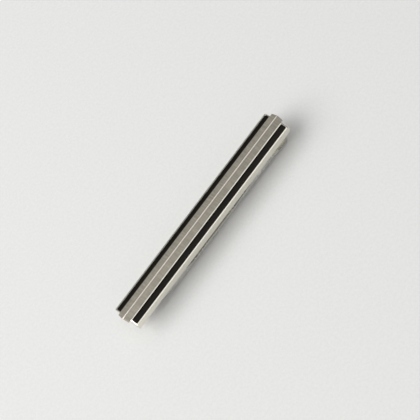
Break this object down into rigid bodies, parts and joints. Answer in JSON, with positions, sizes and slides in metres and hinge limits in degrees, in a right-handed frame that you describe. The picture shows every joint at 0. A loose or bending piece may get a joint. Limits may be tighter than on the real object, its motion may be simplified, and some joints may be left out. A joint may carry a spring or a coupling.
{
  "type": "tie bar",
  "caption": "Long narrow dress tie bar with a satin centre rail, inlaid black enamel strips and a sprung toothed clasp behind it.",
  "frame": {"origin": "under the middle of the bar, on the plane of the clasp's flat underside", "axes": "+X along the bar to its thumb end, +Y to the bar's upper long edge when worn, +Z out of the decorated front"},
  "size_m": [0.06, 0.0074, 0.0071],
  "materials": {
    "polished_metal": "polished rhodium plate over brass",
    "satin_metal": "fine crosswise satin brushing under rhodium plate, warm grey",
    "black_enamel": "glossy black enamel",
    "clasp_metal": "barrel-polished plated steel sheet",
    "spring_steel": "drawn spring wire"
  },
  "bodies": {
    "bar": {"front_shell": "polished_metal", "centre_rail": "satin_metal", "upper_enamel": "black_enamel", "lower_enamel": "black_enamel", "back_plate": "polished_metal", "hinge_bracket": "clasp_metal", "hinge_pin": "clasp_metal", "torsion_spring": "spring_steel"},
    "jaw": {"jaw_arm": "clasp_metal"}
  },
  "joints": [
    {"name": "jaw_hinge", "type": "hinge", "parent": "jaw", "child": "bar", "pos_m": [0.017, 0, 0.0021], "axis": [0, 1, 0], "range_deg": [0, 17], "stiffness_Nm_per_rad": 0.05, "springref_deg": -34.38, "deforming": ["torsion_spring"]}
  ]
}
